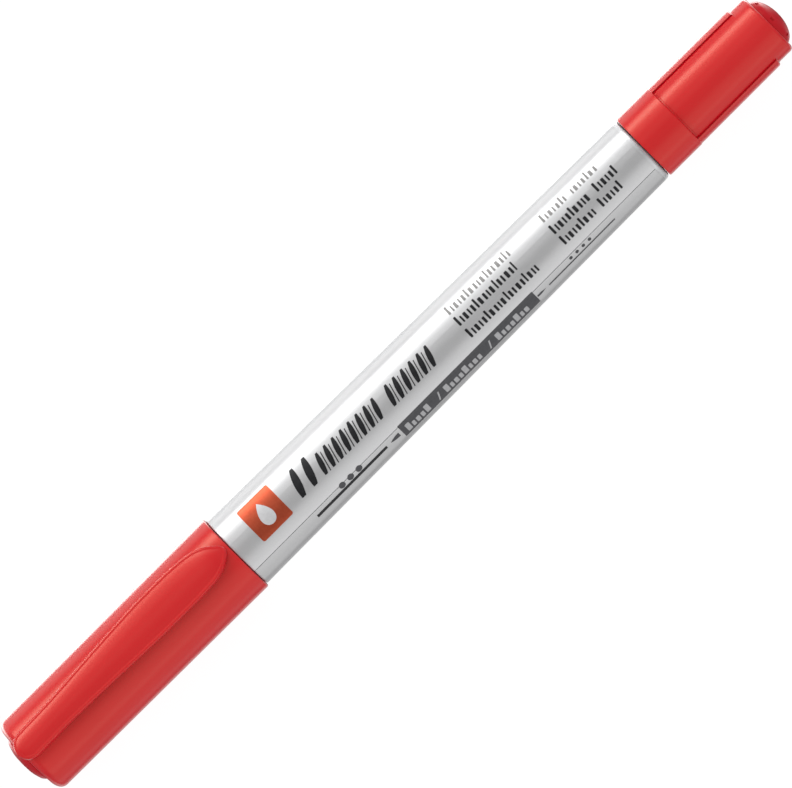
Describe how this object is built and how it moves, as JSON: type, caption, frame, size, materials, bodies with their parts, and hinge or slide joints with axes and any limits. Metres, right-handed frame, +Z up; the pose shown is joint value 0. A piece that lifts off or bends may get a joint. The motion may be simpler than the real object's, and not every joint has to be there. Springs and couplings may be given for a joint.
{
  "type": "dual-tip calligraphy marker",
  "caption": "Slim double-ended calligraphy marker: silver tapered barrel with printed label film, red pull-off caps over a broad bullet nib and a fine nib, and a springy pocket clip.",
  "frame": {"origin": "centre of the marker's length on the surface it lies on, under its axis (the axis is 6.11 mm up)", "axes": "+X along the marker towards the fine nib and the small cap; +Z up, the side the clip is on; +Y completes the right-handed frame"},
  "size_m": [0.14, 0.0122, 0.0154],
  "materials": {
    "cap_red": "satin moulded polypropylene, fine texture",
    "inner_cap_red": "satin moulded plastic, a deeper red than the shells",
    "barrel_silver": "silver-grey moulded plastic",
    "film_silver": "printed metallised film, satin lacquer",
    "holder_grey": "charcoal moulded plastic, satin",
    "nib_fibre": "bonded fibre soaked with red ink",
    "sleeve_steel": "drawn stainless tube",
    "core_fibre": "polyester fibre bundle soaked with ink",
    "wrap_film": "thin clear film"
  },
  "bodies": {
    "barrel": {"barrel": "barrel_silver", "barrel_label_film": "film_silver", "broad_nib_holder": "holder_grey", "broad_nib": "nib_fibre", "fine_nib_holder": "holder_grey", "fine_nib_sleeve": "sleeve_steel", "fine_nib": "nib_fibre", "fine_relay_wick": "core_fibre", "ink_reservoir_core": "core_fibre", "reservoir_wrap": "wrap_film"},
    "large_cap": {"large_cap_shell": "cap_red", "large_cap_inner_cap": "inner_cap_red"},
    "clip": {"large_cap_clip": "cap_red"},
    "small_cap": {"small_cap_shell": "cap_red", "small_cap_inner_cap": "inner_cap_red"}
  },
  "joints": [
    {"name": "large_cap_slide", "type": "slide", "parent": "barrel", "child": "large_cap", "axis": [-1, 0, 0], "range_m": [0, 0.045]},
    {"name": "small_cap_slide", "type": "slide", "parent": "barrel", "child": "small_cap", "axis": [1, 0, 0], "range_m": [0, 0.03]},
    {"name": "clip_flex", "type": "hinge", "parent": "large_cap", "child": "clip", "pos_m": [-0.0625, 0, 0.01391], "axis": [0, -1, 0], "range_deg": [0, 4], "stiffness_Nm_per_rad": 1.8}
  ]
}
